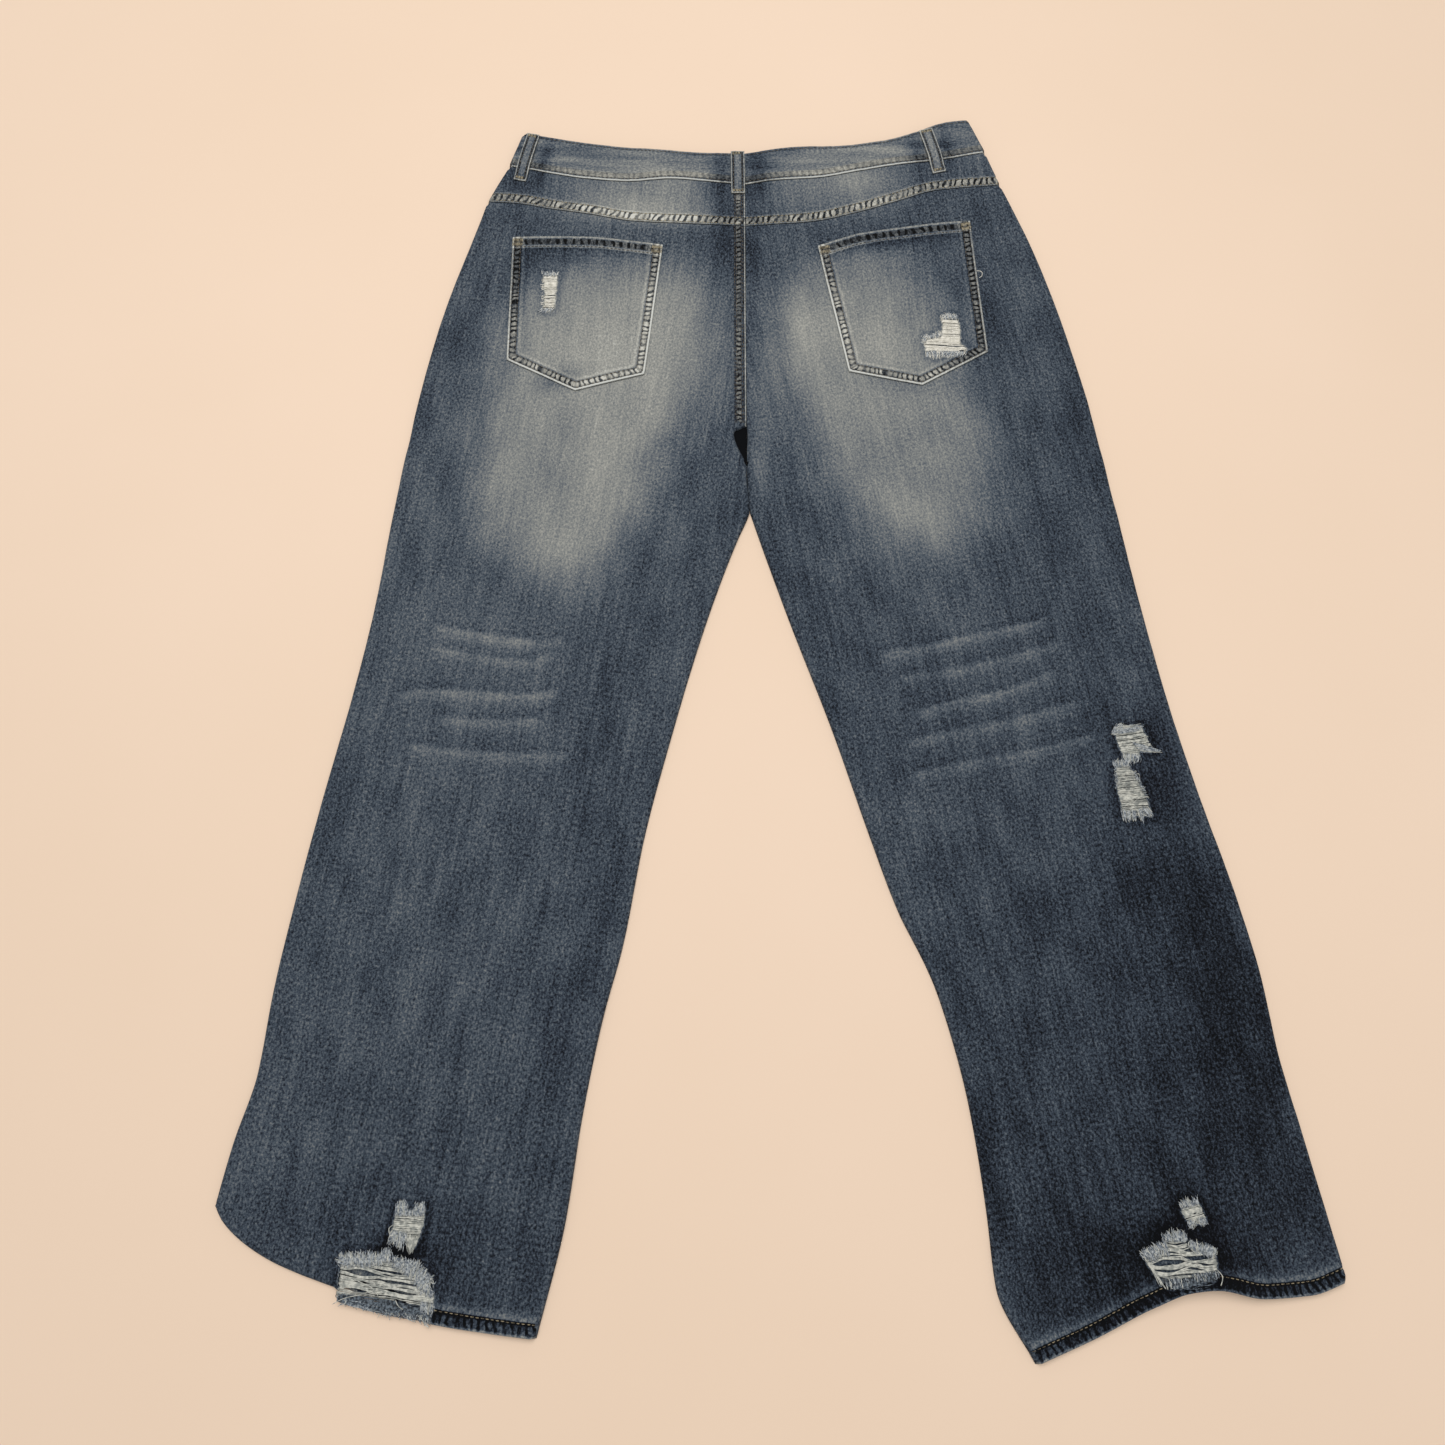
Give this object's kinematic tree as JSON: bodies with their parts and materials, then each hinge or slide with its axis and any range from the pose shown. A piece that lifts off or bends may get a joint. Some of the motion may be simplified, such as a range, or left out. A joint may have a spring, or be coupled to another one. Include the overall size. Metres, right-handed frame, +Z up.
{
  "type": "ripped jeans",
  "caption": "Wide-leg blue denim trousers lying flat, back side up, faded and worn, with patch pockets, belt loops and frayed rips on a pocket, the knee and both hems.",
  "frame": {"origin": "centre of the bounding box in plan, on the surface that the garment lies on", "axes": "+Y up the legs to the waist, +X to the wearer's right as seen from above with the back up, +Z up from the surface"},
  "size_m": [0.8938, 1.1624, 0.0133],
  "materials": {
    "washed_denim": "worn twill, matte",
    "faded_denim": "faded twill, matte",
    "seamed_denim": "double twill, matte",
    "weft_threads": "bare cotton threads, matte",
    "aged_brass": "dull, worn"
  },
  "bodies": {
    "root": {"back_left": "washed_denim", "back_right": "washed_denim", "yoke_left": "washed_denim", "yoke_right": "washed_denim", "waistband_back": "seamed_denim", "waistband_front_left": "seamed_denim", "waistband_front_right": "seamed_denim", "front_left": "washed_denim", "front_right": "washed_denim", "fly": "washed_denim", "pocket_left": "faded_denim", "pocket_right": "faded_denim", "belt_loop_back_left": "seamed_denim", "belt_loop_back_centre": "seamed_denim", "belt_loop_back_right": "seamed_denim", "belt_loop_front_left": "seamed_denim", "belt_loop_front_right": "seamed_denim", "threads_pocket_left": "weft_threads", "threads_pocket_right": "weft_threads", "threads_knee_upper": "weft_threads", "threads_knee_lower": "weft_threads", "threads_hem_left_small": "weft_threads", "threads_hem_left_large": "weft_threads", "threads_hem_right_small": "weft_threads", "threads_hem_right_large": "weft_threads", "button_waist": "aged_brass"}
  },
  "joints": []
}
